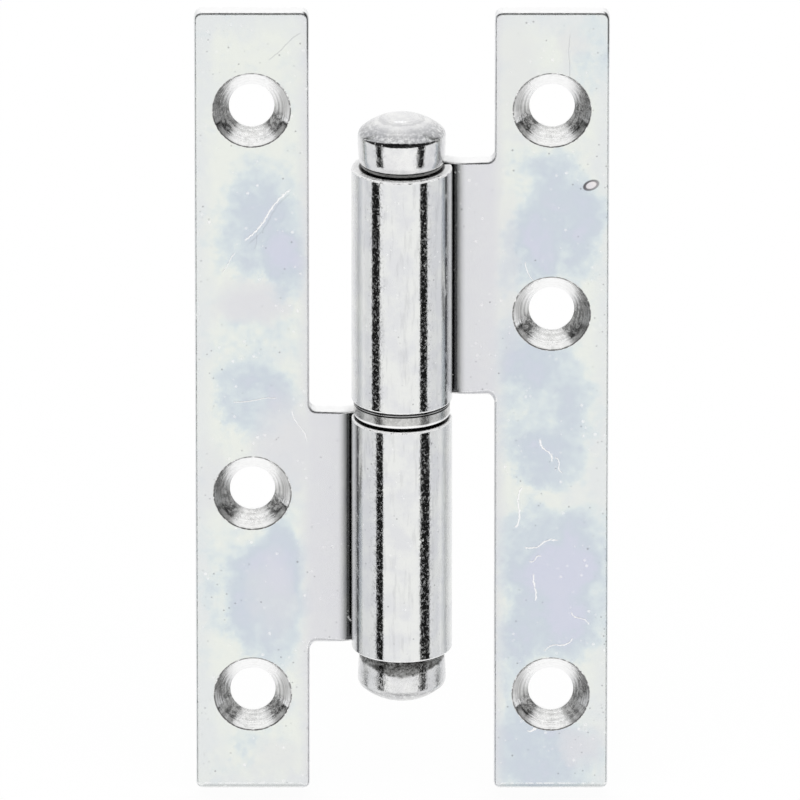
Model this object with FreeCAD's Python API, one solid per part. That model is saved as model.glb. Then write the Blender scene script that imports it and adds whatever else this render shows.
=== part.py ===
import FreeCAD, Part
import math
import os

from FreeCAD import Vector

# Lift off hinge with two rolled knuckles, all sizes in millimetres.
# The pin stands along Z, the countersunk faces look along minus Y and the hinge lies open and flat.
# The frame leaf carries the lower knuckle and the pin, the door leaf drops over the pin from above.

# Leaves
LEAF_HEIGHT = 110.0
LEAF_WIDTH = 15.2
SHEET = 2.5
CLOSED_GAP = 2.6  # between the two front faces when the hinge is folded shut
CORNER_ROUND = 1.1
EDGE_BREAK = 0.25  # bevel left along every cut edge

# Rolled knuckles and the tabs that carry them
KNUCKLE_DIAMETER = 13.4
KNUCKLE_LENGTH = 32.65
TAB_WIDTH = 5.6  # from the side of the knuckle to the edge of the leaf
TAB_FLARE = 0.2  # how far the tab widens at each side on its way to the leaf
TAB_EASING = 20.0  # radius where the flare starts
NOTCH_ROUND = 1.0
CRANK_ANGLE = 23.0
CRANK_INNER_ROUND = 0.8
ROLL_GAP = 0.4  # between the end of the roll and the tab that it closes on

# Screw holes
HOLE_DIAMETER = 6.0
SINK_DIAMETER = 10.3
SINK_ANGLE = 90.0
END_HOLE_FROM_END = 13.7
MIDDLE_HOLE_FROM_END = 42.3

# Rings between the knuckles, whose rims stand a little inside the knuckle's
RING_THICKNESS = 2.05
RING_SETBACK = 0.3
RING_RELIEF_HEIGHT = 0.45
RING_RELIEF_DEPTH = 0.7
RING_EDGE = 0.12
WASHER_THICKNESS = 0.45
WASHER_SETBACK = 0.25

# Pin
RUNNING_CLEARANCE = 0.07
PIN_TIP_CLEARANCE = 0.9
PIN_TIP_CHAMFER = 1.2
PIN_FOOT_CHAMFER = 0.5

# Button plugs, with heights taken from the end of the knuckle
BUTTON_SETBACK = 0.8
BUTTON_HEIGHT = 7.3
BELLY_HEIGHT = 2.6
SHOULDER_HEIGHT = 4.3
DOME_FOOT_HEIGHT = 5.2
DOME_INSET = 0.4  # from the side to the foot of the dome, across the bevel at the shoulder
LIP_HEIGHT = 0.45
LIP_INSET = 0.35
NECK_HEIGHT = 0.7
NECK_SEAT = 0.9  # width of the ring on which the neck sits round the bore
SPIGOT_LENGTH = 6.0
SPIGOT_CHAMFER = 0.5

# Two faces that meet at more than this angle make a sharp edge
SHARP_ANGLE = math.radians(15)

# Sizes that follow from the ones above
KNUCKLE_RADIUS = KNUCKLE_DIAMETER / 2
BORE_RADIUS = KNUCKLE_RADIUS - SHEET
RUNNING_RADIUS = BORE_RADIUS - RUNNING_CLEARANCE
FRONT_Y = CLOSED_GAP / 2
BACK_Y = FRONT_Y + SHEET
HALF_HEIGHT = LEAF_HEIGHT / 2
INNER_EDGE = KNUCKLE_RADIUS + TAB_WIDTH
OUTER_EDGE = INNER_EDGE + LEAF_WIDTH
HOLE_X = (INNER_EDGE + OUTER_EDGE) / 2
NEAR_END = (RING_THICKNESS + WASHER_THICKNESS) / 2
FAR_END = NEAR_END + KNUCKLE_LENGTH


def turned(points):
    """A solid of revolution about Z from radius and height pairs."""
    outline = [Vector(r, 0, z) for r, z in points]
    face = Part.Face(Part.makePolygon(outline + outline[:1]))
    return face.revolve(Vector(0, 0, 0), Vector(0, 0, 1), 360)


def on_circle(radius, degrees, centre=Vector(0, 0, 0)):
    angle = math.radians(degrees)
    return centre + Vector(radius * math.cos(angle), radius * math.sin(angle), 0)


def arc(radius, start, end, centre=Vector(0, 0, 0)):
    """An arc about the centre from one bearing in degrees to the other, either way round."""
    middle = on_circle(radius, (start + end) / 2, centre)
    ends = on_circle(radius, start, centre), on_circle(radius, end, centre)
    return Part.Arc(ends[0], middle, ends[1]).toShape()


def line(start, end):
    return Part.LineSegment(start, end).toShape()


def rounded_outline(corners):
    """A closed wire in the XZ plane from corners given as x, z and the radius that rounds them."""
    points = [Vector(x, 0, z) for x, z, _ in corners]
    rounds = []
    for i, (_, _, radius) in enumerate(corners):
        corner = points[i]
        back = (points[i - 1] - corner).normalize()
        ahead = (points[(i + 1) % len(points)] - corner).normalize()
        half = back.getAngle(ahead) / 2
        reach = radius / math.tan(half)
        inward = radius / math.sin(half) - radius
        middle = corner + (back + ahead).normalize() * inward
        rounds.append((corner + back * reach, middle, corner + ahead * reach))
    edges = []
    for i, (start, middle, end) in enumerate(rounds):
        edges.append(line(rounds[i - 1][2], start))
        if start != end:
            edges.append(Part.Arc(start, middle, end).toShape())
    return Part.Wire(edges)


def sheet_section():
    """The frame leaf's section across the pin: flat plate, cranked tab and rolled knuckle."""
    turn = math.radians(CRANK_ANGLE)
    crank_outer = CRANK_INNER_ROUND + SHEET
    crank_y = FRONT_Y + crank_outer
    reach = KNUCKLE_RADIUS + CRANK_INNER_ROUND - crank_y * math.cos(turn)
    crank = Vector(-reach / math.sin(turn), crank_y, 0)
    tangent = 90 + CRANK_ANGLE
    closing = math.degrees(math.asin((BORE_RADIUS - ROLL_GAP) / KNUCKLE_RADIUS))
    roll_end = -180 - (closing - CRANK_ANGLE)
    bend_end = -90 + CRANK_ANGLE
    front_edge = Vector(-OUTER_EDGE, FRONT_Y, 0)
    back_edge = Vector(-OUTER_EDGE, BACK_Y, 0)
    edges = [
        line(front_edge, on_circle(crank_outer, -90, crank)),
        arc(crank_outer, -90, bend_end, crank),
        line(on_circle(crank_outer, bend_end, crank), on_circle(BORE_RADIUS, tangent)),
        arc(BORE_RADIUS, tangent, roll_end),
        line(on_circle(BORE_RADIUS, roll_end), on_circle(KNUCKLE_RADIUS, roll_end)),
        arc(KNUCKLE_RADIUS, roll_end, tangent),
        line(on_circle(KNUCKLE_RADIUS, tangent), on_circle(CRANK_INNER_ROUND, bend_end, crank)),
        arc(CRANK_INNER_ROUND, bend_end, -90, crank),
        line(on_circle(CRANK_INNER_ROUND, -90, crank), back_edge),
        line(back_edge, front_edge),
    ]
    return Part.Face(Part.Wire(edges))


def blank_outline():
    """The frame leaf's outline seen from the front, with its tab below the middle."""
    past = KNUCKLE_RADIUS + SHEET
    corners = [
        (-OUTER_EDGE, -HALF_HEIGHT, CORNER_ROUND),
        (-INNER_EDGE, -HALF_HEIGHT, CORNER_ROUND),
        (-INNER_EDGE, -FAR_END - TAB_FLARE, NOTCH_ROUND),
        (-KNUCKLE_RADIUS, -FAR_END, TAB_EASING),
        (past, -FAR_END, 0),
        (past, -NEAR_END, 0),
        (-KNUCKLE_RADIUS, -NEAR_END, TAB_EASING),
        (-INNER_EDGE, -NEAR_END + TAB_FLARE, NOTCH_ROUND),
        (-INNER_EDGE, HALF_HEIGHT, CORNER_ROUND),
        (-OUTER_EDGE, HALF_HEIGHT, CORNER_ROUND),
    ]
    return Part.Face(rounded_outline(corners))


def screw_hole(z):
    """The space of one countersunk hole, drilled through the sheet from the front."""
    sink_radius = SINK_DIAMETER / 2
    hole_radius = HOLE_DIAMETER / 2
    depth = (sink_radius - hole_radius) / math.tan(math.radians(SINK_ANGLE / 2))
    mouth = Vector(-HOLE_X, FRONT_Y, z)
    along = Vector(0, 1, 0)
    sink = Part.makeCone(sink_radius, hole_radius, depth, mouth, along)
    hole = Part.makeCylinder(hole_radius, SHEET, mouth, along)
    return sink.fuse(hole)


def sharp_edges(solid):
    """The edges where two faces meet at a corner and don't run smoothly on."""
    sharp = []
    for edge in solid.Edges:
        middle = edge.valueAt((edge.FirstParameter + edge.LastParameter) / 2)
        normals = [
            face.normalAt(*face.Surface.parameter(middle))
            for face in solid.ancestorsOfType(edge, Part.Face)
        ]
        if normals[0].getAngle(normals[1]) > SHARP_ANGLE:
            sharp.append(edge)
    return sharp


def stamped_leaf():
    """The frame leaf: one piece of sheet, cut to outline, rolled, bevelled along its edges and drilled."""
    strip = sheet_section().extrude(Vector(0, 0, LEAF_HEIGHT))
    strip.translate(Vector(0, 0, -HALF_HEIGHT))
    depth = 2 * (KNUCKLE_RADIUS + SHEET)
    blank = blank_outline().extrude(Vector(0, depth, 0))
    blank.translate(Vector(0, -depth / 2, 0))
    leaf = strip.common(blank).removeSplitter().Solids[0]
    leaf = leaf.makeChamfer(EDGE_BREAK, sharp_edges(leaf))
    end = HALF_HEIGHT - END_HOLE_FROM_END
    middle = HALF_HEIGHT - MIDDLE_HOLE_FROM_END
    for z in (end, -middle, -end):
        leaf = leaf.cut(screw_hole(z))
    return leaf


def hinge_pin():
    """Plain pin: pressed into the lower knuckle down to its plug, and a running fit in the upper one."""
    foot = -FAR_END + SPIGOT_LENGTH
    tip = FAR_END - SPIGOT_LENGTH - PIN_TIP_CLEARANCE
    return turned([
        (0, foot),
        (BORE_RADIUS - PIN_FOOT_CHAMFER, foot),
        (BORE_RADIUS, foot + PIN_FOOT_CHAMFER),
        (BORE_RADIUS, -NEAR_END),
        (RUNNING_RADIUS, -NEAR_END),
        (RUNNING_RADIUS, tip - PIN_TIP_CHAMFER),
        (RUNNING_RADIUS - PIN_TIP_CHAMFER, tip),
        (0, tip),
    ])


def thrust_ring():
    """The thick ring that the door turns on, relieved underneath so that its rim stands clear."""
    rim = KNUCKLE_RADIUS - RING_SETBACK
    foot = rim - RING_RELIEF_DEPTH
    base = -NEAR_END
    under = base + RING_RELIEF_HEIGHT
    top = base + RING_THICKNESS
    return turned([
        (BORE_RADIUS, base),
        (foot, base),
        (foot, under),
        (rim - RING_EDGE, under),
        (rim, under + RING_EDGE),
        (rim, top - RING_EDGE),
        (rim - RING_EDGE, top),
        (BORE_RADIUS, top),
    ])


def thin_washer():
    """The thin washer between the thick ring and the upper knuckle."""
    rim = KNUCKLE_RADIUS - WASHER_SETBACK
    base = NEAR_END - WASHER_THICKNESS
    return turned([(BORE_RADIUS, base), (rim, base), (rim, NEAR_END), (BORE_RADIUS, NEAR_END)])


def button_plug():
    """The plug that closes the upper knuckle: spigot, neck, lip, barrel side, bevelled shoulder, dome."""
    neck = BORE_RADIUS + NECK_SEAT
    belly = KNUCKLE_RADIUS - BUTTON_SETBACK
    lip = belly - LIP_INSET
    dome = belly - DOME_INSET

    def at(radius, above):
        return Vector(radius, 0, FAR_END + above)

    crown = at(0, BUTTON_HEIGHT)
    dome_foot = at(dome, DOME_FOOT_HEIGHT)
    rise = BUTTON_HEIGHT - DOME_FOOT_HEIGHT
    dome_radius = (dome**2 + rise**2) / (2 * rise)
    half_way = math.asin(dome / dome_radius) / 2
    dome_middle = at(
        dome_radius * math.sin(half_way),
        BUTTON_HEIGHT - dome_radius * (1 - math.cos(half_way)),
    )
    points = [
        crown,
        at(0, -SPIGOT_LENGTH),
        at(BORE_RADIUS - SPIGOT_CHAMFER, -SPIGOT_LENGTH),
        at(BORE_RADIUS, SPIGOT_CHAMFER - SPIGOT_LENGTH),
        at(BORE_RADIUS, 0),
        at(neck, 0),
        at(neck, NECK_HEIGHT),
        at(lip, NECK_HEIGHT),
        at(lip, NECK_HEIGHT + LIP_HEIGHT),
        at(belly, BELLY_HEIGHT),
        at(belly, SHOULDER_HEIGHT),
        dome_foot,
    ]
    edges = [line(a, b) for a, b in zip(points, points[1:])]
    edges.append(Part.Arc(dome_foot, dome_middle, crown).toShape())
    face = Part.Face(Part.Wire(edges))
    return face.revolve(Vector(0, 0, 0), Vector(0, 0, 1), 360)


def turned_over(shape):
    """A copy turned half a turn about the front to back axis."""
    copy = shape.copy()
    copy.rotate(Vector(0, 0, 0), Vector(0, 1, 0), 180)
    return copy


def main():
    os.makedirs("parts", exist_ok=True)
    leaf = stamped_leaf()
    plug = button_plug()
    nodes = {
        "frame_leaf": leaf,
        "door_leaf": turned_over(leaf),
        "hinge_pin": hinge_pin(),
        "thrust_ring": thrust_ring(),
        "thin_washer": thin_washer(),
        "top_plug": plug,
        "bottom_plug": turned_over(plug),
    }
    for name, shape in nodes.items():
        shape.exportStep("parts/" + name + ".step")
        print(name, shape.isValid(), len(shape.Solids), round(shape.Volume, 1), len(shape.Faces))


main()
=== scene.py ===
import math

import bmesh
import bpy
from mathutils import Matrix, Vector


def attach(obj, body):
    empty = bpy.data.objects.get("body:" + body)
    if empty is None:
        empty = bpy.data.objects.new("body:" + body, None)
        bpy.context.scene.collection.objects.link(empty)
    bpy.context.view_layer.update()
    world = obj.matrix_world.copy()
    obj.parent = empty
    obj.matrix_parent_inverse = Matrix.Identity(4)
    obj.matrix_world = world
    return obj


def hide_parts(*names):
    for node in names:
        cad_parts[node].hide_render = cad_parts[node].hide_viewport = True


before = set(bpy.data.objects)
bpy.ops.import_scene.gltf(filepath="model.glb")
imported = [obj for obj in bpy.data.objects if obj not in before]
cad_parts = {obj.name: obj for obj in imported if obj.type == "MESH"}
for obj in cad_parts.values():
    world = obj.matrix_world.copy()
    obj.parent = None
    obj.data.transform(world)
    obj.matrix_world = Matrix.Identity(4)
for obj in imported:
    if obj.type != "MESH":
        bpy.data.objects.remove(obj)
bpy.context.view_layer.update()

# Lift off hinge in bright zinc plate, open and flat, with its countersunk faces towards the camera.
# Lengths are in millimetres up to the point where a mesh is made, and MM turns them into metres.

MM = 0.001

# The sheet that each leaf is stamped from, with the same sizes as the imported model
LEAF_HEIGHT = 110.0
LEAF_WIDTH = 15.2
SHEET = 2.5
FRONT_Y = 1.3
CORNER_ROUND = 1.1
NOTCH_ROUND = 1.0
EDGE_ROUND = 0.42
LOW_EDGE_ROUND = 1.05
ROLL_EDGE_ROUND = 0.32
KNUCKLE_RADIUS = 6.7
BORE_RADIUS = KNUCKLE_RADIUS - SHEET
INNER_EDGE = 12.3
OUTER_EDGE = INNER_EDGE + LEAF_WIDTH
NEAR_END = 1.25
FAR_END = 33.9
TAB_FLARE = 0.2
TAB_EASING = 20.0
CRANK_ANGLE = math.radians(23)
CRANK_INNER_ROUND = 0.8
ROLL_GAP = 0.4
ROLL_END_ROUND = 0.45

# Places on the leaves at which the finish changes
REFLECTION_LINE_X = 5.86  # of the painted reflection line along the knuckle, on its tab's side
CREASE_SHADE_Y = 2.9  # up to which the painted shade in the crease beside the tab reaches
ROLL_FADE = (8.6, 7.2)  # from the pin's axis, over which the roll's finish takes over
FRONT_FADE = (0.0, -0.7)  # of the surface's own y direction, over which a face counts as a front one
EDGE_REFLECTION_HEIGHTS = (46.0, 52.0)  # heights over which the painted reflection darkens the right edges
DENT_LEAN = 0.45
LEAF_BUMP = 0.03

# Screw holes
HOLE_RADIUS = 3.0
SINK_RADIUS = 5.15
MOUTH_ROUND = 0.24
THROAT_ROUND = 0.1
BACK_ROUND = 0.15
HOLE_HEIGHTS = (41.3, -12.7, -41.3)
HOLE_X = (INNER_EDGE + OUTER_EDGE) / 2

# How finely the curves are cut
ARC_STEP = math.radians(12)
ROLL_STEP = math.radians(3.5)
HOLE_SIDES = 96
LATHE_SIDES = 180


class Number:
    """A number socket that can be used in Python arithmetic."""

    def __init__(self, net, socket):
        self.net = net
        self.socket = socket

    def through(self, operation, *others):
        """This number, and any others after it, put through one Math node."""
        return self.net.maths(operation, self, *others)

    def __add__(self, other):
        return self.through("ADD", other)

    def __radd__(self, other):
        return self.net.maths("ADD", other, self)

    def __sub__(self, other):
        return self.through("SUBTRACT", other)

    def __rsub__(self, other):
        return self.net.maths("SUBTRACT", other, self)

    def __mul__(self, other):
        return self.through("MULTIPLY", other)

    def __rmul__(self, other):
        return self.net.maths("MULTIPLY", other, self)

    def __truediv__(self, other):
        return self.through("DIVIDE", other)

    def __abs__(self):
        return self.through("ABSOLUTE")

    def larger(self, other):
        return self.through("MAXIMUM", other)

    def smaller(self, other):
        return self.through("MINIMUM", other)

    def root(self):
        return self.through("SQRT")

    def rise(self, low, high):
        """0 below low and 1 above high, with a smooth step between; high may be the smaller one."""
        flip = high < low
        ends = (high, low) if flip else (low, high)
        limits = {"From Min": ends[0], "From Max": ends[1]}
        limits["To Min"], limits["To Max"] = (1.0, 0.0) if flip else (0.0, 1.0)
        made = self.net.node(
            "ShaderNodeMapRange", {"interpolation_type": "SMOOTHSTEP"}, Value=self, **limits
        )
        return self.net.number(made.outputs[0])


class Net:
    """The nodes of one material or of the surroundings."""

    def __init__(self, tree):
        self.tree = tree
        tree.nodes.clear()

    def feed(self, socket, value):
        if isinstance(value, Number):
            value = value.socket
        if isinstance(value, bpy.types.NodeSocket):
            self.tree.links.new(value, socket)
        else:
            socket.default_value = value

    def node(self, kind, settings=None, **values):
        made = self.tree.nodes.new(kind)
        for name, value in (settings or {}).items():
            setattr(made, name, value)
        sockets = {s.identifier: s for s in made.inputs}
        for name, value in values.items():
            key = name if name in sockets else name.replace("_", " ")
            self.feed(sockets[key] if key in sockets else made.inputs[key], value)
        return made

    def number(self, socket):
        return Number(self, socket)

    def maths(self, operation, *values):
        made = self.node("ShaderNodeMath", {"operation": operation})
        for i, value in enumerate(values):
            self.feed(made.inputs[i], value)
        return self.number(made.outputs[0])

    def blend(self, share, first, second):
        """The first colour, going over to the second where share is 1."""
        settings = {"data_type": "RGBA"}
        made = self.node(
            "ShaderNodeMix", settings, Factor_Float=share, A_Color=first, B_Color=second
        )
        return next(s for s in made.outputs if s.identifier == "Result_Color")

    def millimetres(self, right_edge_reflection=(1, 1, 1)):
        """The object's own coordinates in millimetres, stretched along the axes if asked."""
        place = self.node("ShaderNodeTexCoord").outputs["Object"]
        scaled = self.node("ShaderNodeVectorMath", {"operation": "MULTIPLY"})
        self.feed(scaled.inputs[0], place)
        scaled.inputs[1].default_value = [s / MM for s in right_edge_reflection]
        return scaled.outputs[0]

    def moved(self, place, shift):
        made = self.node("ShaderNodeVectorMath", {"operation": "ADD"})
        self.feed(made.inputs[0], place)
        made.inputs[1].default_value = shift
        return made.outputs[0]

    def facing(self):
        """The parts of the surface's own direction, in the object's axes."""
        return self.axes(self.node("ShaderNodeTexCoord").outputs["Normal"])

    def axes(self, place):
        parts = self.node("ShaderNodeSeparateXYZ", Vector=place)
        return [self.number(s) for s in parts.outputs]

    def noise(self, place, scale, detail=2.0, roughness=0.5):
        made = self.node(
            "ShaderNodeTexNoise", Vector=place, Scale=scale, Detail=detail, Roughness=roughness
        )
        return self.number(made.outputs[0])

    def rings(self, radius, scale):
        """Noise that changes with the radius alone, as the marks of a turning tool do."""
        settings = {"noise_dimensions": "1D"}
        made = self.node("ShaderNodeTexNoise", settings, W=radius, Scale=scale, Detail=3.0)
        return self.number(made.outputs[0])

    def cells(self, place, scale):
        """The distance to the nearest of many scattered points, in cell sizes."""
        made = self.node("ShaderNodeTexVoronoi", Vector=place, Scale=scale)
        return self.number(made.outputs["Distance"])

    def bump(self, height, distance):
        made = self.node("ShaderNodeBump", Height=height, Distance=distance * MM)
        return made.outputs[0]


def grey(level):
    return (level, level, level, 1.0)


def display(red, green, blue):
    """A colour given as it looks on a screen, 0 to 255, in the linear form that the nodes take."""
    linear = []
    for value in (red, green, blue):
        share = value / 255
        linear.append(share / 12.92 if share <= 0.04045 else ((share + 0.055) / 1.055) ** 2.4)
    return (*linear, 1.0)


def material(name):
    made = bpy.data.materials.new(name)
    made.use_nodes = True
    return made, Net(made.node_tree)


def metal(net, color, roughness, normal, burr=0.0):
    """Polished metal that turns to a matt scattering surface where burr is 1."""
    surface = net.node(
        "ShaderNodeBsdfPrincipled", Base_Color=color, Metallic=1 - burr, Roughness=roughness,
        Normal=normal,
    )
    net.node("ShaderNodeOutputMaterial", Surface=surface.outputs[0])


# Zinc plate: the film's tints from thin to thick, and the greyer plate along the margins
PALE_FILM = display(234, 237, 231)
MARGIN_FILM = display(228, 231, 231)
TEAL_FILM = display(219, 228, 230)
BLUE_FILM = display(205, 213, 222)
VIOLET_FILM = display(210, 213, 227)
ROSE_FILM = display(222, 222, 226)
BARE = display(252, 252, 252)

# Patches of thicker film on the leaves: x and z of the middle, half width, half height and depth
FRAME_LEAF_PATCHES = (
    (-18.6, 30.5, 4.6, 5.5, 0.24),
    (-19.0, 24.2, 6.0, 6.0, 0.55),
    (-15.6, 18.8, 2.6, 4.4, 0.6),
    (-19.2, 8.0, 6.0, 5.0, 0.28),
    (-19.6, 0.3, 4.8, 4.8, 0.52),
    (-15.2, 0.6, 2.4, 3.0, 0.3),
    (-16.4, -21.6, 3.6, 4.2, 0.42),
    (-17.6, -28.4, 4.8, 8.0, 0.6),
    (-23.6, -26.0, 3.5, 9.0, 0.26),
    (-20.6, -48.2, 2.2, 2.2, 0.3),
    (-16.2, -13.0, 3.0, 5.5, 0.26),
)
DOOR_LEAF_PATCHES = (
    (21.0, 26.2, 5.0, 7.0, 0.62),
    (16.2, 21.0, 3.4, 5.0, 0.5),
    (24.6, 24.0, 2.6, 8.0, 0.25),
    (18.5, 34.0, 5.0, 2.8, 0.18),
    (17.6, 7.8, 5.6, 5.0, 0.56),
    (17.4, -0.8, 5.8, 6.5, 0.38),
    (23.4, -1.0, 2.6, 5.0, 0.34),
    (19.4, -8.6, 4.8, 3.4, 0.6),
    (18.2, -20.4, 6.6, 5.6, 0.6),
    (24.6, -19.6, 2.8, 5.0, 0.45),
    (20.4, -29.0, 7.0, 7.2, 0.66),
    (22.0, -28.0, 2.6, 4.6, 0.35),
    (18.4, -49.4, 7.4, 6.4, 0.7),
    (25.0, 49.6, 2.6, 5.0, 0.3),
    (14.6, -36.0, 2.4, 6.0, 0.4),
)

# Rosy patches: x and z of the middle, half width, half height and strength
FRAME_LEAF_ROSES = (
    (-20.3, 14.0, 4.4, 2.7, 0.9),
    (-15.0, -6.5, 4.2, 7.0, 0.8),
    (-25.8, -11.5, 2.0, 5.0, 0.5),
    (-17.4, -27.6, 2.6, 5.6, 0.5),
    (-16.6, -50.4, 3.6, 2.4, 0.4),
)
DOOR_LEAF_ROSES = (
    (24.6, -48.6, 2.6, 3.0, 0.8),
    (15.2, 46.0, 3.0, 7.0, 0.4),
    (13.8, 16.0, 1.8, 12.0, 0.5),
    (22.4, 50.6, 2.0, 2.4, 0.5),
)


def soft_patch(across, along, patch):
    """How strongly one patch shows: 1 in its middle, fading out past its edge."""
    middle_x, middle_z, half_width, half_height, strength = patch
    side = (across - middle_x) / half_width
    rise = (along - middle_z) / half_height
    return (side * side + rise * rise).rise(2.1, 0.0) * strength


def zinc_tint(net, place, front, patches, roses):
    """The colour of the plating, from its film's depth, its margins and its rosy patches in front."""
    warp = net.noise(place, 0.16, 3.0, 0.6)
    drift = net.noise(net.moved(place, (17, 3, 29)), 0.16, 3.0, 0.6)
    cloud = net.noise(net.moved(place, (8, 21, 2)), 0.42, 3.0, 0.6)
    fine = net.noise(net.moved(place, (40, 7, 13)), 0.9, 4.0, 0.65)
    x, _, z = net.axes(place)
    across = x + (warp - 0.5) * 6.0 + (fine - 0.5) * 1.6
    along = z + (drift - 0.5) * 7.0 + (fine - 0.5) * 2.2
    thick = sum(soft_patch(across, along, patch) for patch in patches)
    depth = (fine - 0.5) * 0.28 + (cloud - 0.5) * 0.85 + thick * front
    outer = (abs(x) - OUTER_EDGE).rise(-3.2, -0.6).larger((abs(z) - LEAF_HEIGHT / 2).rise(-4.0, -0.5))
    margin = (outer * 0.8 + drift.rise(0.46, 0.68) * 0.7 + (fine - 0.5)).larger(0.0).smaller(1.0)
    tab = abs(x).rise(INNER_EDGE + 2.2, INNER_EDGE - 0.6)
    color = net.blend(margin, PALE_FILM, MARGIN_FILM)
    color = net.blend(depth.rise(0.0, 0.45), color, TEAL_FILM)
    color = net.blend(depth.rise(0.22, 0.72), color, BLUE_FILM)
    color = net.blend(depth.rise(0.62, 1.05), color, VIOLET_FILM)
    rosy = tab * 0.9 + (cloud - 0.5) * 0.4
    for patch in roses:
        rosy = rosy.larger(soft_patch(across, along, patch) * front)
    return net.blend(rosy.larger(0.0).smaller(1.0), color, ROSE_FILM)


def specks(net, place, scale, size, shift=(0, 0, 0)):
    """Small scattered spots, as a mask."""
    moved = net.moved(place, shift)
    spots = net.cells(moved, scale).rise(size, size * 0.4)
    return spots * net.noise(moved, scale * 0.37, 1.0).rise(0.5, 0.66)


def scratch(net, place, ragged, start, end, sway, width):
    """A mask for one ragged scratch from start to end, given as x and z, that sways to one side."""
    x, _, z = net.axes(place)
    run_x, run_z = end[0] - start[0], end[1] - start[1]
    length = math.hypot(run_x, run_z)
    ahead = ((x - start[0]) * (run_x / length) + (z - start[1]) * (run_z / length)) / length
    aside = (x - start[0]) * (run_z / length) - (z - start[1]) * (run_x / length)
    bow = (ahead * (2 * math.pi)).through("SINE") * sway
    within = ahead.rise(-0.02, 0.04) * ahead.rise(1.02, 0.96)
    return abs(aside - bow + ragged).rise(width, width * 0.35) * within


def knuckle_tint(net, place):
    """The roll's own plating, with faint grey streaks along it."""
    cloud = net.noise(net.moved(place, (3, 9, 27)), 0.3, 3.0, 0.6)
    streaks = net.noise(net.millimetres((1.0, 1.0, 0.16)), 1.4, 3.0, 0.6)
    tint = net.blend(cloud.rise(0.36, 0.64), display(234, 235, 233), display(225, 226, 228))
    return net.blend(streaks.rise(0.5, 0.72) * 0.35, tint, display(190, 191, 193))


def dark_specks(net, place, x):
    """Dark specks, closer together along the leaf's outer edge."""
    margin = (abs(x) - OUTER_EDGE).rise(-4.0, -1.0)
    spots = specks(net, place, 0.9, 0.16) + specks(net, place, 0.45, 0.1, (5, 5, 5))
    return (spots + margin * specks(net, place, 1.3, 0.22, (9, 5, 2))).smaller(1.0)


def pale_specks(net, place, rolled):
    """Pale specks, of one kind on the flat and of another on the roll."""
    flat = specks(net, place, 0.8, 0.22, (21, 3, 9)) + specks(net, place, 1.2, 0.18, (3, 13, 9)) * 0.7
    return (flat * (1 - rolled) + rolled * specks(net, place, 1.3, 0.24, (2, 8, 5))).smaller(1.0)


def oval_dent(net, x, z, front, color, height, dent):
    """The colour and the height with a small oval dent, dark round its rim and rosy inside."""
    middle_x, middle_z, half_width, half_height = dent
    along = (z - middle_z) / half_height
    across = (x - middle_x - (z - middle_z) * DENT_LEAN) / half_width
    reach = (across * across + along * along).root()
    rim_line = abs(reach - 0.85).rise(0.3, 0.08)
    color = net.blend(reach.rise(1.0, 0.7) * front * 0.6, color, display(240, 230, 232))
    color = net.blend(rim_line * (0.8 - across * 0.2) * front, color, display(90, 88, 92))
    return color, height - reach.rise(1.0, 0.3) * front * 0.8


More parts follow.
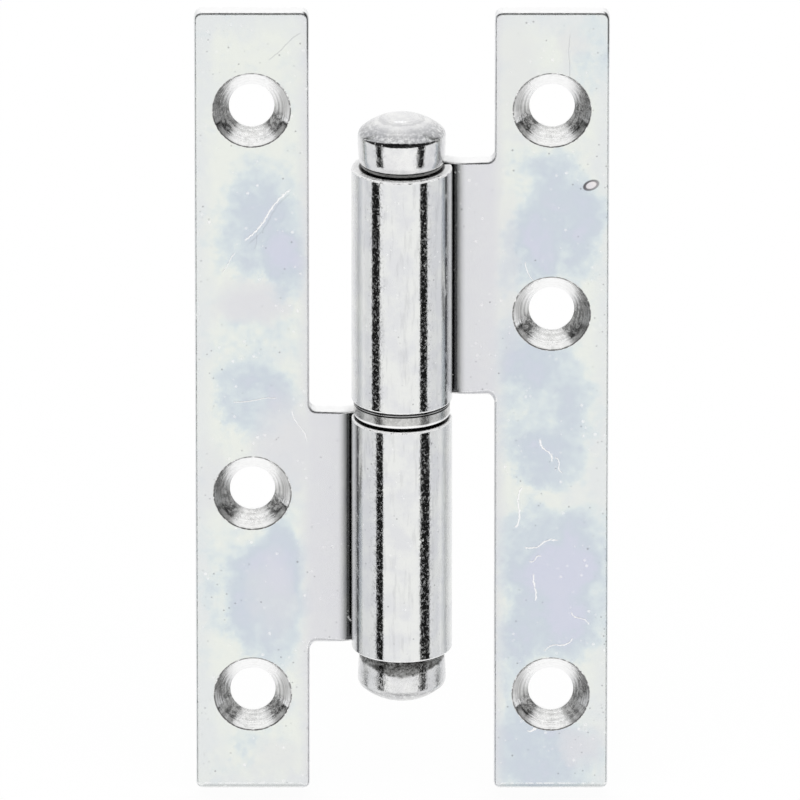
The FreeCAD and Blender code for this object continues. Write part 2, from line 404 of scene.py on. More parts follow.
def leaf_zinc(name, side, patches, roses, marks, swells, dent):
    """Bright zinc on a stamped leaf: side is -1 for the leaf whose tab lies towards minus x.

    The burr is the share of the surface that scatters light as a rough cut does.
    """
    made, net = material(name)
    place = net.millimetres()
    x, y, z = net.axes(place)
    facing_x, facing_y, facing_z = net.facing()
    front = facing_y.rise(*FRONT_FADE)
    from_axis = (x * x + y * y).root()
    rolled = from_axis.rise(*ROLL_FADE)
    broken = net.noise(net.moved(place, (4, 4, 4)), 0.7, 3.0, 0.7)
    grain = net.noise(place, 2.4, 3.0, 0.6)
    chipped = net.noise(place, 1.7, 3.0, 0.75)
    color = zinc_tint(net, place, front, patches, roses)
    color = net.blend(rolled, color, knuckle_tint(net, place))
    color = net.blend(dark_specks(net, place, x) * 0.48, color, display(125, 125, 128))
    burr = pale_specks(net, place, rolled) * 0.6

    # Painted shade in the crease where the roll closes on the tab, and a dark painted reflection line
    # beside it along the knuckle
    crease = (y - CREASE_SHADE_Y).rise(0.0, -0.6) * (x * side).rise(5.0, 6.0)
    crease = crease * (from_axis - KNUCKLE_RADIUS).rise(0.03, 0.2)
    shade = (abs(x) - KNUCKLE_RADIUS).rise(1.9, 0.15) * crease
    color = net.blend(shade * 0.85, color, display(40, 40, 42))
    # Painted reflection: a dark broken line along the knuckle on its tab's side
    knuckle_reflection_line = abs(x * side - REFLECTION_LINE_X).rise(0.2, 0.08) * y.rise(0.0, -1.0) * rolled
    color = net.blend(knuckle_reflection_line * broken.rise(0.36, 0.5) * 0.8, color, display(70, 70, 74))

    # Cut edges show bare, and rougher than the faces, with a ragged burr along the lower ones
    upright = abs(facing_z)
    aside = abs(facing_x) * (1 - rolled)
    turned = upright.larger(aside)
    edge = turned.rise(0.42, 0.75)
    color = net.blend(upright.rise(0.5, 0.85), color, BARE)
    low = (0 - facing_z).rise(0.0, 0.05) * (0 - facing_z).rise(0.22, 0.1) * (1 - rolled)
    burr = burr.larger(low * chipped.rise(0.44, 0.56)).larger(aside.rise(0.6, 0.9) * 0.7)

    # Painted reflection: a dark stretch at the top of each right edge, on the front half of the sheet
    right_edge_reflection = (z + grain * 8 - 4).rise(*EDGE_REFLECTION_HEIGHTS) * y.rise(2.1, 1.7) * facing_x.rise(0.2, 0.5)
    color = net.blend(right_edge_reflection * 0.85, color, display(50, 50, 50))

    # A rough bright rim round each end of the knuckle, and painted shadow, black, on an upper end face
    # inside the joint
    end_face = facing_z.rise(0.9, 0.98) * rolled
    end_face_shadow = end_face * (from_axis - abs(z).rise(10.0, 5.0) * 0.65).rise(5.9, 5.6)
    rim = rolled * upright.rise(0.12, 0.35) * (1 - end_face_shadow)
    burr = burr.larger(rim * chipped.rise(0.28, 0.5))
    color = net.blend(end_face_shadow, color, display(22, 22, 22))

    # Scratches, swells and the dent
    height = (grain * 0.5 + broken) * (1 - rolled * 0.55) + (edge + rim) * chipped * 1.2
    for start, end, sway, width, pale in marks:
        ragged = (chipped - 0.5) * width * 4.0
        mask = scratch(net, place, ragged, start, end, sway, width) * broken.rise(0.3, 0.42) * front
        if pale:
            burr = burr.larger(mask * 0.9)
        else:
            color = net.blend(mask * 0.25, color, display(150, 150, 158))
        height = height + mask * (0.5 if pale else -0.2)
    for middle, reach, swell in swells:
        height = height + abs(x - middle).rise(reach, 0.0) * (swell / LEAF_BUMP)
    if dent:
        color, height = oval_dent(net, x, z, front, color, height, dent)

    # Matt flecks on the knuckle break up the dark stripes that it mirrors
    beside = abs(x).rise(2.0, 2.5) * abs(x).rise(4.9, 4.2) * rolled
    fleck = net.noise(net.moved(place, (6, 2, 1)), 2.6, 3.0, 0.7).rise(0.48, 0.64) * beside
    roughness = 0.24 + (grain - 0.5) * 0.1 - rolled * 0.17 + fleck * 0.2 + edge * 0.1
    roughness = roughness + (aside * 0.3 + upright.rise(0.08, 0.2) * 0.12) * chipped.rise(0.45, 0.6)
    roughness = roughness + abs(x).rise(4.9, 5.5) * rolled * 0.13

    # The flat faces and the knuckle's far side are a little matt, so they never mirror outright
    flat = turned.rise(0.5, 0.4) * (1 - rolled)
    far_side = (x * side).rise(-4.6, -5.2) * rolled * front
    matt = (burr * 0.85).larger(far_side * 0.6).larger(flat * 0.25)
    metal(net, net.blend(burr, color, BARE), roughness, net.bump(height, LEAF_BUMP), matt)
    return made


def countersink_zinc(name, hole_x, hole_heights):
    """The turned cone of a countersink, with rings left by the tool, a dark line round its mouth, a
    painted reflection darkening its outer wall and a painted highlight on its upper wall.
    """
    made, net = material(name)
    place = net.millimetres()
    x, _, z = net.axes(place)
    across = (x - hole_x) * (x - hole_x)
    radius = None
    for height in hole_heights:
        reach = (across + (z - height) * (z - height)).root()
        radius = reach if radius is None else radius.smaller(reach)
    ring = net.rings(radius, 4.0)
    mottle = net.noise(place, 2.6, 4.0, 0.7)
    blotch = net.noise(net.moved(place, (7, 3, 2)), 1.1, 3.0, 0.65)
    facing_x, _, facing_z = net.facing()
    outer_wall_reflection = (facing_x * math.copysign(1, -hole_x)).rise(0.3, 0.68)
    lit_wall = facing_z.rise(0.1, -0.4)
    color = net.blend(ring.rise(0.3, 0.7), display(238, 238, 237), display(254, 254, 253))
    # Painted reflection: the cone's outer wall, away from the knuckle, darker along the tool's rings
    color = net.blend(outer_wall_reflection * (ring * 1.1).smaller(1.0), color, display(150, 151, 151))
    color = net.blend(blotch.rise(0.5, 0.66) * 0.3, color, display(176, 178, 176))
    line = abs(radius - SINK_RADIUS).rise(0.16, 0.05) * mottle.rise(0.35, 0.55)
    color = net.blend(line * 0.75, color, display(70, 70, 68))
    color = net.blend(lit_wall * (1 - line) * 0.8, color, BARE)
    inner = radius.rise(SINK_RADIUS - 0.4, HOLE_RADIUS + 0.6)
    fleck = net.noise(net.moved(place, (5, 1, 8)), 2.0, 3.0, 0.7).rise(0.44, 0.6)
    normal = net.bump(ring * 0.8 + mottle * 0.25 + blotch * 0.6, 0.014)
    inner_wall = (facing_x * math.copysign(1, hole_x)).rise(0.36, 0.62) * facing_z.rise(0.3, 0.05)
    crescent = radius.rise(SINK_RADIUS - 0.75, SINK_RADIUS - 0.45) * facing_z.rise(0.26, 0.4)
    scatter = (inner * 0.12 + fleck * (0.16 + inner * 0.15)) * (1 - lit_wall)
    scatter = scatter.larger(inner_wall * (0.2 + ring * 0.6)).larger(crescent * mottle * 0.75)
    metal(net, color, 0.07 + inner * 0.08 + fleck * 0.1, normal, scatter)
    return made


def button_zinc(name, side, lip_painted_shading, foot_reflection_and_wear, lean):
    """Turned zinc on a plug: side is 1 for the upper one, with a painted reflection and painted shade at
    its lip and a painted reflection round its foot, each as strong as asked; the foot's level also sets
    how worn the plug is.
    """
    made, net = material(name)
    place = net.millimetres()
    x, y, z = net.axes(place)
    above = z * side - FAR_END
    cloud = net.noise(place, 0.5, 3.0)
    grain = net.noise(net.moved(place, (8, 2, 5)), 2.2, 3.0, 0.65)
    coarse = net.noise(net.moved(place, (3, 7, 1)), 1.2, 3.0, 0.7)
    color = net.blend(cloud.rise(0.35, 0.65), display(240, 240, 239), display(228, 228, 229))
    radius = (x * x + y * y).root() + (coarse - 0.5) * 1.2
    dome = above.rise(4.6, 5.0)
    turned = net.rings(radius, 1.6).rise(0.42, 0.6) * above.rise(7.25, 6.9)
    color = net.blend(dome * turned * 0.45, color, display(186, 187, 189))
    # Painted reflection: a grey mottle round the lower part of the dome
    brow_reflection = above.rise(6.7, 5.2) * dome
    color = net.blend(brow_reflection * grain.rise(0.36, 0.56) * 0.7, color, display(158, 158, 160))
    # Painted reflection, grey, on the lip, and painted shade, black, in the groove above it and painted
    # shadow in the gap under it
    lip = above.rise(LIP_TOP + 0.12, LIP_TOP) * above.rise(LIP_FOOT - 0.1, LIP_FOOT)
    color = net.blend(lip * lip_painted_shading, color, display(120, 120, 118))
    groove_shade = abs(above - LIP_TOP - 0.06).rise(0.14, 0.04) * lip_painted_shading
    gap_shadow = above.rise(LIP_FOOT, LIP_FOOT - 0.15)
    color = net.blend(groove_shade.larger(gap_shadow) * 0.95, color, display(30, 30, 29))
    # Painted reflection: a dark band round the plug's foot, narrowing towards the sides
    slope = abs(x) * 0.24 + above + (coarse - 0.5) * 0.9
    foot = slope.rise(foot_reflection_and_wear + 0.2, foot_reflection_and_wear - 0.2)
    fleck = net.noise(net.moved(place, (1, 6, 3)), 2.6, 3.0, 0.7).rise(0.46, 0.62)
    color = net.blend(foot * (0.97 - fleck * 0.25), color, display(62, 61, 58))
    worn = min(foot_reflection_and_wear, 1.0)
    dull = coarse.rise(0.35, 0.65) * worn
    color = net.blend(dull * 0.35, color, display(206, 207, 206))
    burr = specks(net, place, 1.5, 0.28, (4, 1, 6)) * 0.6 + fleck * (dull * 0.35)
    height = grain * (0.7 + 0.5 * worn) + cloud * 0.7 + coarse * worn - x * (lean / BUTTON_BUMP)
    roughness = 0.08 + fleck * 0.16 + dull * 0.14
    metal(net, color, roughness, net.bump(height, BUTTON_BUMP), burr.smaller(0.8))
    return made


def ring_zinc(name, middle, rim_highlight_height, rim_highlight_level):
    """Dull zinc on a ring, with a painted highlight along one rim, and painted shadow, black, in the
    joints above and below and in the relieved underside.
    """
    made, net = material(name)
    place = net.millimetres()
    x, y, z = net.axes(place)
    outside = (x * x + y * y).root().rise(RING_RADIUS - 0.45, RING_RADIUS - 0.25)
    grain = net.noise(place, 1.8, 3.0, 0.6)
    fine = net.noise(net.moved(place, (9, 4, 1)), 4.0, 3.0, 0.7)
    color = net.blend(grain.rise(0.35, 0.62), display(*middle), display(*(m + 26 for m in middle)))
    # Painted highlight along one rim
    color = net.blend(abs(z - rim_highlight_height).rise(0.28, 0.12) * rim_highlight_level, color, BARE)
    # Painted shadow, black, in the joints and under the relieved underside
    joint_shadow = abs(z - NEAR_END).rise(0.31, 0.25).larger(abs(z - RING_TOP).rise(0.17, 0.1)) * outside
    recess_shadow = z.rise(RING_UNDER + 0.03, RING_UNDER - 0.03)
    color = net.blend(joint_shadow.larger(recess_shadow) * 0.94, color, display(24, 24, 23))
    bright = abs(z - rim_highlight_height).rise(0.24, 0.1) * rim_highlight_level * fine.rise(0.25, 0.45) * (1 - joint_shadow)
    metal(net, color, 0.16 + grain * 0.12, net.bump(grain + fine * 0.4, 0.03), bright * 0.85)
    return made


def pin_steel():
    """Turned steel with fine rings along the pin and a trace of grease."""
    made, net = material("pin_steel")
    stretched = net.millimetres((0.15, 0.15, 3.0))
    place = net.millimetres()
    turning = net.noise(stretched, 1.5, 3.0, 0.6)
    film = net.noise(place, 0.25, 3.0)
    color = net.blend(turning.rise(0.3, 0.7), display(196, 197, 200), display(217, 218, 220))
    color = net.blend(film.rise(0.5, 0.75) * 0.5, color, display(176, 172, 164))
    metal(net, color, 0.2 + film * 0.15, net.bump(turning, 0.01))
    return made


def rounded_path(corners, closed=True):
    """Points with their outward normals along a path through corners given as (a, b, radius).

    The path runs with its material on the left, and each corner is rounded to its own radius.
    """
    points = [Vector((a, b)) for a, b, _ in corners]
    count = len(points)
    path = []
    for i, (_, _, radius) in enumerate(corners):
        if not closed and i in (0, count - 1):
            step = points[1] - points[0] if i == 0 else points[-1] - points[-2]
            path.append((points[i], Vector((step.y, -step.x)).normalized()))
            continue
        corner = points[i]
        entering = (corner - points[i - 1]).normalized()
        leaving = (points[(i + 1) % count] - corner).normalized()
        turn = entering.angle_signed(leaving)
        reach = radius * math.tan(abs(turn) / 2)
        left_turn = entering.x * leaving.y - entering.y * leaving.x > 0
        side = 1 if left_turn else -1
        first_normal = Vector((entering.y, -entering.x))
        centre = corner - entering * reach - first_normal * radius * side
        steps = max(2, math.ceil(abs(turn) / ARC_STEP))
        for k in range(steps + 1):
            angle = side * abs(turn) * k / steps
            normal = first_normal.copy()
            normal.rotate(Matrix.Rotation(angle, 2))
            path.append((centre + normal * radius * side, normal))
    return path


def object_from(name, builder, materials, body):
    """A mesh object with the normals that its maker worked out, riding on its body."""
    mesh = bpy.data.meshes.new(name)
    layer = builder.verts.layers.float_vector["shading"]
    builder.verts.index_update()
    normals = [v[layer].normalized() for v in builder.verts]
    builder.to_mesh(mesh)
    mesh.polygons.foreach_set("use_smooth", [True] * len(mesh.polygons))
    mesh.normals_split_custom_set_from_vertices(normals)
    mesh.attributes.remove(mesh.attributes["shading"])
    for finish in materials:
        mesh.materials.append(finish)
    made = bpy.data.objects.new(name, mesh)
    bpy.context.scene.collection.objects.link(made)
    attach(made, body)
    return made


def turn_on_lathe(corners):
    """A solid of revolution from a path of radius, height and rounding, from axis to axis or closed."""
    on_axis = corners[0][0] == 0
    path = rounded_path(corners, closed=not on_axis)
    builder = bmesh.new()
    layer = builder.verts.layers.float_vector.new("shading")
    rings = []
    for point, normal in path:
        ring = []
        sides = 1 if point.x < 1e-6 else LATHE_SIDES
        for k in range(sides):
            angle = 2 * math.pi * k / LATHE_SIDES
            cos, sin = math.cos(angle), math.sin(angle)
            vert = builder.verts.new((point.x * cos * MM, point.x * sin * MM, point.y * MM))
            vert[layer] = (normal.x * cos, normal.x * sin, normal.y)
            if sides == 1:
                vert[layer] = (0, 0, math.copysign(1, normal.y))
            ring.append(vert)
        rings.append(ring)
    pairs = list(zip(rings, rings[1:]))
    if not on_axis:
        pairs.append((rings[-1], rings[0]))
    for lower, upper in pairs:
        for k in range(LATHE_SIDES):
            after = (k + 1) % LATHE_SIDES
            corners_here = [lower[k % len(lower)], lower[after % len(lower)]]
            corners_here += [upper[after % len(upper)], upper[k % len(upper)]]
            builder.faces.new(list(dict.fromkeys(corners_here)))
    return builder


class SheetPath:
    """Where the sheet's middle line runs across the pin: plate, crank, tab and roll."""

    def __init__(self):
        self.middle_y = FRONT_Y + SHEET / 2
        outer = CRANK_INNER_ROUND + SHEET
        crank_y = FRONT_Y + outer
        reach = KNUCKLE_RADIUS + CRANK_INNER_ROUND - crank_y * math.cos(CRANK_ANGLE)
        self.crank = Vector((-reach / math.sin(CRANK_ANGLE), crank_y))
        self.crank_radius = crank_y - self.middle_y
        self.roll_radius = KNUCKLE_RADIUS - SHEET / 2
        closing = math.asin((BORE_RADIUS - ROLL_GAP) / KNUCKLE_RADIUS)
        self.roll_start = math.pi / 2 + CRANK_ANGLE
        roll_sweep = self.roll_start + math.pi + closing - CRANK_ANGLE
        self.ramp = Vector((math.cos(CRANK_ANGLE), math.sin(CRANK_ANGLE)))
        self.ramp_normal = Vector((-self.ramp.y, self.ramp.x))
        self.ramp_foot = self.crank - self.ramp_normal * self.crank_radius
        ramp_length = (self.ramp_normal * self.roll_radius - self.ramp_foot).length
        self.plate_end = self.crank.x + OUTER_EDGE
        self.crank_end = self.plate_end + self.crank_radius * CRANK_ANGLE
        self.ramp_end = self.crank_end + ramp_length
        self.end = self.ramp_end + self.roll_radius * roll_sweep

    def at(self, along):
        """The point on the middle line and the direction from the front of the sheet to its back."""
        if along <= self.plate_end:
            return Vector((along - OUTER_EDGE, self.middle_y)), Vector((0, 1))
        if along <= self.crank_end:
            angle = (along - self.plate_end) / self.crank_radius
            back = Vector((-math.sin(angle), math.cos(angle)))
            return self.crank - back * self.crank_radius, back
        if along <= self.ramp_end:
            return self.ramp_foot + self.ramp * (along - self.crank_end), self.ramp_normal
        angle = self.roll_start - (along - self.ramp_end) / self.roll_radius
        back = Vector((math.cos(angle), math.sin(angle)))
        return back * self.roll_radius, back

    def along_at_x(self, x):
        """How far along the middle line reaches x on the ramp."""
        return self.crank_end + (x - self.ramp_foot.x) / self.ramp.x

    def stations(self):
        """Where the flat blank is creased so that it can follow the bends."""
        cuts = []
        for start, end, radius in (
            (self.plate_end, self.crank_end, self.crank_radius),
            (self.ramp_end, self.end, self.roll_radius),
        ):
            count = math.ceil((end - start) / radius / ROLL_STEP)
            cuts += [start + (end - start) * k / count for k in range(count + 1)]
        return cuts


def edge_round(along, roll, lowness):
    """How far the cut edge is rounded: most along the lower edges, least on the roll."""
    share = min(max((along - LEAF_WIDTH) / (roll - LEAF_WIDTH), 0.0), 1.0)
    plate = EDGE_ROUND + (LOW_EDGE_ROUND - EDGE_ROUND) * max(lowness, 0.0) ** 2
    return plate + (ROLL_EDGE_ROUND - plate) * share


def stamped_blank(sheet, side):
    """The flat blank in (along, through, up): outline with rounded edges, and three countersunk holes."""
    builder = bmesh.new()
    layer = builder.verts.layers.float_vector.new("shading")
    half = SHEET / 2
    high = LEAF_HEIGHT / 2
    roll = sheet.along_at_x(-KNUCKLE_RADIUS)
    outline = rounded_path([
        (0, -high, CORNER_ROUND),
        (LEAF_WIDTH, -high, CORNER_ROUND),
        (LEAF_WIDTH, -FAR_END - TAB_FLARE, NOTCH_ROUND),
        (roll, -FAR_END, TAB_EASING),
        (sheet.end, -FAR_END, ROLL_END_ROUND),
        (sheet.end, -NEAR_END, ROLL_END_ROUND),
        (roll, -NEAR_END, TAB_EASING),
        (LEAF_WIDTH, -NEAR_END + TAB_FLARE, NOTCH_ROUND),
        (LEAF_WIDTH, high, CORNER_ROUND),
        (0, high, CORNER_ROUND),
    ])

    def loop(points, normals, depths):
        made = []
        for point, normal, through in zip(points, normals, depths):
            vert = builder.verts.new((point[0], through, point[1]))
            vert[layer] = normal
            made.append(vert)
        return made

    def bridge(first, second, finish=0):
        count = len(first)
        for k in range(count):
            after = (k + 1) % count
            face = builder.faces.new((first[k], first[after], second[after], second[k]))
            face.material_index = finish

    def edge_loops():
        """Rings of points over the rounded edge, from the front face to the back face."""
        quarter = [math.radians(a) for a in (0, 22.5, 45, 67.5, 90)]
        levels = [(-1, a) for a in quarter] + [(1, math.pi / 2 - a) for a in quarter]
        for face, angle in levels:
            sin, cos = math.sin(angle), math.cos(angle)
            rounds = [edge_round(p.x, roll, -n.y * side) for p, n in outline]
            points = [p - n * r * (1 - sin) for (p, n), r in zip(outline, rounds)]
            normals = [(n.x * sin, face * cos, n.y * sin) for _, n in outline]
            yield loop(points, normals, [face * (half - r * (1 - cos)) for r in rounds])

    rings = list(edge_loops())
    for first, second in zip(rings, rings[1:]):
        bridge(first, second)
    mouths = []
    sink_depth = SINK_RADIUS - HOLE_RADIUS
    profile = rounded_path([
        (SINK_RADIUS + 1.0, -half, 0),
        (SINK_RADIUS, -half, MOUTH_ROUND),
        (HOLE_RADIUS, -half + sink_depth, THROAT_ROUND),
        (HOLE_RADIUS, half, BACK_ROUND),
        (HOLE_RADIUS + 1.0, half, 0),
    ], closed=False)[1:-1]
    for height in HOLE_HEIGHTS:
        centre = Vector((LEAF_WIDTH / 2, height))
        turns = [2 * math.pi * k / HOLE_SIDES for k in range(HOLE_SIDES)]
        hoops = []
        for point, normal in profile:
            outward = [Vector((math.cos(a), math.sin(a))) for a in turns]
            points = [centre + o * point.x for o in outward]
            normals = [(o.x * -normal.x, -normal.y, o.y * -normal.x) for o in outward]
            hoops.append((loop(points, normals, [point.y] * HOLE_SIDES), point.y))
        for (first, _), (second, depth) in zip(hoops, hoops[1:]):
            bridge(first, second, 1 if depth < sink_depth - half else 0)
        mouths.append((hoops[0][0], hoops[-1][0]))
    for face, ring in ((0, rings[0]), (1, rings[-1])):
        edges = []
        for hoop in [ring] + [m[face] for m in mouths]:
            edges += [builder.edges.get((v, hoop[k - 1])) for k, v in enumerate(hoop)]
        bmesh.ops.triangle_fill(builder, use_beauty=True, edges=edges)
    return builder


def fold_sheet(builder, sheet):
    """Creases the flat blank at the bends and lays it along the sheet's path."""
    for along in sheet.stations():
        everything = builder.verts[:] + builder.edges[:] + builder.faces[:]
        bmesh.ops.bisect_plane(
            builder, geom=everything, dist=1e-5, plane_co=(along, 0, 0), plane_no=(1, 0, 0)
        )
    layer = builder.verts.layers.float_vector["shading"]
    for vert in builder.verts:
        along, through, up = vert.co
        flat = vert[layer].copy()
        point, back = sheet.at(along)
        ahead = Vector((back.y, -back.x))
        place = point + back * through
        vert.co = Vector((place.x, place.y, up)) * MM
        across = ahead * flat.x + back * flat.y
        vert[layer] = (across.x, across.y, flat.z)
    bmesh.ops.recalc_face_normals(builder, faces=builder.faces[:])


def turn_over(builder):
    """Turns a piece half a turn about the front to back axis."""
    half_turn = Matrix.Rotation(math.pi, 4, "Y")
    layer = builder.verts.layers.float_vector["shading"]
    for vert in builder.verts:
        vert.co = half_turn @ vert.co
        vert[layer] = half_turn @ vert[layer]


def make_leaves():
    sheet = SheetPath()
    # Start and end of a scratch, its sway, its half width and whether it shows pale
    frame_marks = (
        ((-20.8, 23.0), (-14.8, 30.2), 0.28, 0.18, True),
        ((-20.3, 22.6), (-14.8, 29.6), 0.28, 0.1, False),
        ((-19.6, 21.8), (-18.9, 25.0), 0.1, 0.08, False),
        ((-17.6, 48.4), (-13.4, 52.2), 0.12, 0.12, False),
        ((-22.4, 0.2), (-16.6, 0.8), 0.12, 0.09, True),
        ((-14.6, -1.0), (-12.6, -5.4), 0.2, 0.1, True),
        ((-23.8, 18.6), (-22.0, 21.4), 0.1, 0.09, True),
        ((-7.1, -30.2), (-6.4, -31.8), 0.1, 0.16, True),
    )
    door_marks = (
        ((18.4, -5.0), (20.0, -8.2), 0.3, 0.16, True),
        ((20.4, -7.6), (21.4, -9.8), -0.25, 0.12, True),
        ((16.0, -11.8), (15.2, -17.6), 0.25, 0.15, True),
        ((16.4, -20.4), (20.8, -19.4), 0.3, 0.16, True),
        ((17.0, -22.4), (18.6, -21.6), 0.2, 0.14, True),
        ((17.6, -24.2), (17.9, -28.0), 0.1, 0.15, True),
        ((22.6, -29.6), (25.0, -31.4), 0.25, 0.13, True),
        ((19.0, -35.2), (22.8, -33.4), -0.35, 0.13, True),
        ((16.8, -46.6), (19.2, -45.2), 0.3, 0.2, True),
        ((22.0, 44.8), (22.3, 52.0), 0.15, 0.09, False),
        ((16.4, 20.0), (18.0, 15.4), 0.2, 0.09, True),
    )
    # Middle x and z, half width and half height of the small dent
    dent = (25.1, 30.8, 0.98, 0.76)
    # Swells that leave each knuckle a little out of round: middle x, reach and height
    frame_swells = ((1.8, 1.2, 0.03), (-2.2, 2.0, 0.085))
    door_swells = ((-5.2, 3.0, 0.12), (1.8, 3.0, 0.13))
    frame_looks = (FRAME_LEAF_PATCHES, FRAME_LEAF_ROSES, frame_marks, frame_swells, None)
    door_looks = (DOOR_LEAF_PATCHES, DOOR_LEAF_ROSES, door_marks, door_swells, dent)
    sides = (
        ("frame_leaf", "frame", 1, frame_looks),
        ("door_leaf", "door", -1, door_looks),
    )
    for node, body, side, looks in sides:
        builder = stamped_blank(sheet, side)
        fold_sheet(builder, sheet)
        if side < 0:
            turn_over(builder)
        plating = leaf_zinc(node + "_zinc", -side, *looks)
        heights = [h * side for h in HOLE_HEIGHTS]
        cones = countersink_zinc(node + "_countersinks", -HOLE_X * side, heights)
        made = object_from(node + "_plated", builder, (plating, cones), body)
        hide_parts(node)


# Button plugs, with heights taken from the end of the knuckle
BUTTON_RADIUS = 5.85
BUTTON_HEIGHT = 7.3
DOME_RADIUS = 8.2
DOME_SIDES = 6
SHOULDER_ROUND = 1.2
NECK_RADIUS = 5.1
LIP_FOOT = 0.24
LIP_TOP = 0.68
LIP_RADIUS = 5.54
LIP_LEAN = 0.1  # by how much the lip is narrower at its foot
GROOVE_HEIGHT = 0.09
SIDE_FOOT_RADIUS = 5.6
BELLY_RADIUS = 5.76
BELLY_HEIGHT = 1.6
SPIGOT_LENGTH = 6.0
SPIGOT_CHAMFER = 0.5
SMALL_ROUND = 0.05
BUTTON_BUMP = 0.025


def button_corners():
    """The plug's section from its spigot up to the crown, as radius, height and rounding."""
    foot = math.asin((BUTTON_RADIUS - SHOULDER_ROUND) / (DOME_RADIUS - SHOULDER_ROUND))
    middle = BUTTON_HEIGHT - DOME_RADIUS
    foot_radius = DOME_RADIUS * math.sin(foot)
    shoulder = middle + DOME_RADIUS * math.cos(foot) - (BUTTON_RADIUS - foot_radius) * math.tan(foot)
    corners = [
        (0, -SPIGOT_LENGTH, 0),
        (BORE_RADIUS - SPIGOT_CHAMFER, -SPIGOT_LENGTH, 0.1),
        (BORE_RADIUS, SPIGOT_CHAMFER - SPIGOT_LENGTH, 0.1),
        (BORE_RADIUS, 0.0, SMALL_ROUND),
        (NECK_RADIUS, 0.0, SMALL_ROUND),
        (NECK_RADIUS, LIP_FOOT, SMALL_ROUND),
        (LIP_RADIUS - LIP_LEAN, LIP_FOOT, 0.08),
        (LIP_RADIUS, LIP_TOP, 0.06),
        (LIP_RADIUS - 0.06, LIP_TOP + 0.06, 0.03),
        (SIDE_FOOT_RADIUS, LIP_TOP + GROOVE_HEIGHT + 0.06, 0.08),
        (BELLY_RADIUS, BELLY_HEIGHT, 4.0),
        (BUTTON_RADIUS, 3.5, 9.0),
        (BUTTON_RADIUS, shoulder, SHOULDER_ROUND),
    ]
    turn = foot / DOME_SIDES
    for k in range(DOME_SIDES):
        angle = foot - turn * (k + 0.5)
        reach = DOME_RADIUS / math.cos(turn / 2)
        corners.append((reach * math.sin(angle), middle + reach * math.cos(angle), DOME_RADIUS * 0.98))
    return corners + [(0, BUTTON_HEIGHT, 0)]


def make_buttons():
    plugs = (("top_plug", "door", 1, (0.85, 0.0, 0.05)), ("bottom_plug", "frame", -1, (0.0, 2.6, 0.0)))
    for node, body, side, looks in plugs:
        builder = turn_on_lathe([(r, z + FAR_END, c) for r, z, c in button_corners()])
        if side < 0:
            turn_over(builder)
        bmesh.ops.recalc_face_normals(builder, faces=builder.faces[:])
        finish = button_zinc(node + "_zinc", side, *looks)
        made = object_from(node + "_plated", builder, (finish,), body)
        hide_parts(node)


# Rings between the knuckles
RING_RADIUS = 6.4
WASHER_RADIUS = 6.45
RING_FOOT_RADIUS = 5.7
RING_UNDER = 0.45 - NEAR_END
RING_TOP = 2.05 - NEAR_END


def make_rings():
    """The thick ring with its relieved underside, and the thin washer on top of it."""
    base = -NEAR_END
    thick = [
        (BORE_RADIUS, base, 0.05),
        (RING_FOOT_RADIUS, base, 0.05),
        (RING_FOOT_RADIUS, RING_UNDER, 0.05),
        (RING_RADIUS, RING_UNDER, 0.14),
        (RING_RADIUS, RING_TOP, 0.12),
        (BORE_RADIUS, RING_TOP, 0.05),
    ]
    thin = [
        (BORE_RADIUS, RING_TOP, 0.04),
        (WASHER_RADIUS, RING_TOP, 0.12),
        (WASHER_RADIUS, NEAR_END, 0.12),
        (BORE_RADIUS, NEAR_END, 0.04),
    ]
    rings = (
        ("thrust_ring", thick, (186, 186, 184), RING_UNDER + 0.16, 1.0),
        ("thin_washer", thin, (206, 206, 206), RING_TOP + 0.2, 0.9),
    )
    for node, corners, middle, rim_highlight_height, rim_highlight_level in rings:
        builder = turn_on_lathe(corners)
        bmesh.ops.recalc_face_normals(builder, faces=builder.faces[:])
        finish = ring_zinc(node + "_zinc", middle, rim_highlight_height, rim_highlight_level)
        made = object_from(node + "_plated", builder, (finish,), "rings")
        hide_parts(node)


def finish_pin():
    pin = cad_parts["hinge_pin"]
    pin.data.materials.clear()
    pin.data.materials.append(pin_steel())


# Surroundings, seen in the polish: a dark band round the front and sides, with two legs reaching down.
# Heights and bearings are in degrees, seen from the hinge.
BAND_FOOT = 3.0
BAND_TOP_FRONT = 66.0
BAND_TOP_SIDE = 24.0
BAND_END = 150.0
LEG_MIDDLE = 57.0
LEG_HALF_WIDTH = 10.0
LEG_FOOT = -33.0
DARK = 0.012
SIDE_WALL = (0.83, 0.835, 0.85, 1.0)
LOW_FRONT = 0.7


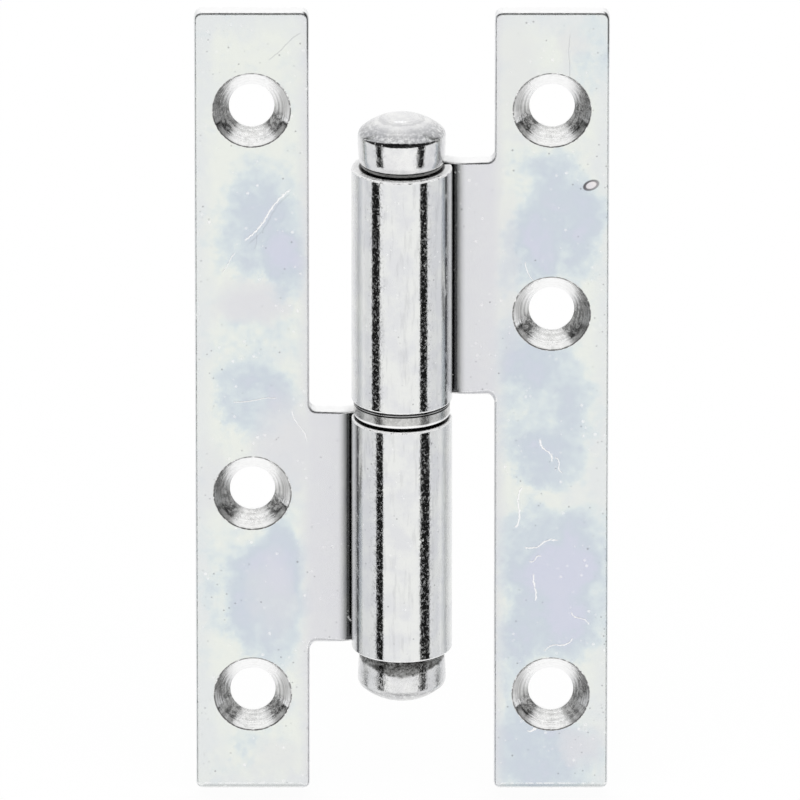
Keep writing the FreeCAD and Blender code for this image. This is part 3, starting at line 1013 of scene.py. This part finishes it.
def surroundings():
    world = bpy.data.worlds.new("studio")
    bpy.context.scene.world = world
    world.use_nodes = True
    net = Net(world.node_tree)
    toward = net.node("ShaderNodeTexCoord").outputs["Generated"]
    x, y, z = net.axes(toward)
    degree = 180 / math.pi
    height = z.larger(-1.0).smaller(1.0).through("ARCSINE") * degree
    bearing = abs(x.through("ARCTAN2", 0 - y)) * degree
    ahead = (bearing / degree).through("COSINE")
    top = ahead * (BAND_TOP_FRONT - BAND_TOP_SIDE) + BAND_TOP_SIDE
    band = (height - top).rise(1.5, -2.5) * (height - BAND_FOOT).rise(-1.5, 1.5)
    band = band * bearing.rise(BAND_END + 8, BAND_END - 8)
    leg = abs(bearing - LEG_MIDDLE).rise(LEG_HALF_WIDTH + 0.6, LEG_HALF_WIDTH - 0.6)
    leg = leg * height.rise(LEG_FOOT - 2.0, LEG_FOOT + 2.0) * height.rise(12.0, 6.0)
    shade = band.larger(leg)
    wall = bearing.rise(40.0, 85.0) * bearing.rise(165.0, 125.0)
    wall = wall * height.rise(-60.0, -40.0) * height.rise(80.0, 60.0)
    light_wall = net.blend(wall, grey(1.0), SIDE_WALL)
    low_front = height.rise(-36.0, -50.0) * bearing.rise(80.0, 50.0)
    light_wall = net.blend(low_front, light_wall, grey(LOW_FRONT))
    seen = net.blend(shade, light_wall, grey(DARK))
    path = net.node("ShaderNodeLightPath")
    glossy = net.number(path.outputs["Is Glossy Ray"])
    color = net.blend(glossy, grey(1.0), seen)
    light = net.node("ShaderNodeBackground", Color=color, Strength=1.0)
    net.node("ShaderNodeOutputWorld", Surface=light.outputs[0])


# Floor and lamp: lengths in metres, power in watts
FLOOR_HALF_WIDTH = 6.0
FLOOR_GAP = 0.0006
FLOOR_SHADOW_SHARE = 0.1
LAMP_PLACE = (0.02, 0.56, 0.71)
LAMP_SIZE = (0.2, 0.045)
LAMP_POWER = 0.02


def pale_floor():
    """A plain white floor that shows the hinge's soft shadow, open to a camera below it."""
    half = FLOOR_HALF_WIDTH
    floor_z = -LEAF_HEIGHT / 2 * MM - FLOOR_GAP
    mesh = bpy.data.meshes.new("floor")
    corners = [(-half, -half), (half, -half), (half, half), (-half, half)]
    mesh.from_pydata([(x, y, floor_z) for x, y in corners], [], [(0, 1, 2, 3)])
    floor = bpy.data.objects.new("floor", mesh)
    bpy.context.scene.collection.objects.link(floor)
    floor.visible_glossy = False
    made, net = material("pale_floor")
    cloud = net.noise(net.node("ShaderNodeTexCoord").outputs["Object"], 3.0)
    matt = net.node(
        "ShaderNodeBsdfDiffuse", Color=net.blend(cloud * 0.01, grey(1.0), grey(0.95))
    )
    white = net.node("ShaderNodeEmission", Color=grey(1.0), Strength=1.0)
    mixed = net.node("ShaderNodeMixShader", Fac=FLOOR_SHADOW_SHARE)
    net.feed(mixed.inputs[1], white.outputs[0])
    net.feed(mixed.inputs[2], matt.outputs[0])
    clear = net.node("ShaderNodeBsdfTransparent")
    sides = net.node("ShaderNodeMixShader")
    net.feed(sides.inputs[0], net.node("ShaderNodeNewGeometry").outputs["Backfacing"])
    net.feed(sides.inputs[1], mixed.outputs[0])
    net.feed(sides.inputs[2], clear.outputs[0])
    net.node("ShaderNodeOutputMaterial", Surface=sides.outputs[0])
    mesh.materials.append(made)


def overhead_softbox():
    """A soft lamp above and behind the hinge, turned towards it."""
    data = bpy.data.lights.new("overhead_softbox", "AREA")
    data.shape = "RECTANGLE"
    data.size, data.size_y = LAMP_SIZE
    data.energy = LAMP_POWER
    lamp = bpy.data.objects.new("overhead_softbox", data)
    lamp.location = LAMP_PLACE
    lamp.rotation_mode = "QUATERNION"
    lamp.rotation_quaternion = (-Vector(LAMP_PLACE)).to_track_quat("-Z", "Y")
    bpy.context.scene.collection.objects.link(lamp)


# The photograph's view: a long lens 20 degrees above the hinge's middle
CAMERA_DISTANCE = 3.0
CAMERA_ELEVATION = math.radians(20)
SCALE_PIXELS_PER_METRE = 7522.0
ORIGIN_PIXEL = (401.8, 407.0)
PICTURE = 800
SENSOR = 36.0


def photograph_camera():
    data = bpy.data.cameras.new("camera")
    data.sensor_width = SENSOR
    data.lens = SENSOR * CAMERA_DISTANCE * SCALE_PIXELS_PER_METRE / PICTURE
    back = Vector((0, -math.cos(CAMERA_ELEVATION), math.sin(CAMERA_ELEVATION)))
    up = Vector((0, math.sin(CAMERA_ELEVATION), math.cos(CAMERA_ELEVATION)))
    aside = (PICTURE / 2 - ORIGIN_PIXEL[0]) / SCALE_PIXELS_PER_METRE
    above = (ORIGIN_PIXEL[1] - PICTURE / 2) / SCALE_PIXELS_PER_METRE
    camera = bpy.data.objects.new("camera", data)
    camera.location = back * CAMERA_DISTANCE + Vector((aside, 0, 0)) + up * above
    camera.rotation_mode = "QUATERNION"
    camera.rotation_quaternion = (-back).to_track_quat("-Z", "Y")
    bpy.context.scene.collection.objects.link(camera)
    bpy.context.scene.camera = camera


make_leaves()
make_buttons()
make_rings()
finish_pin()
surroundings()
pale_floor()
overhead_softbox()
photograph_camera()

bpy.context.scene.view_settings.view_transform = "Standard"
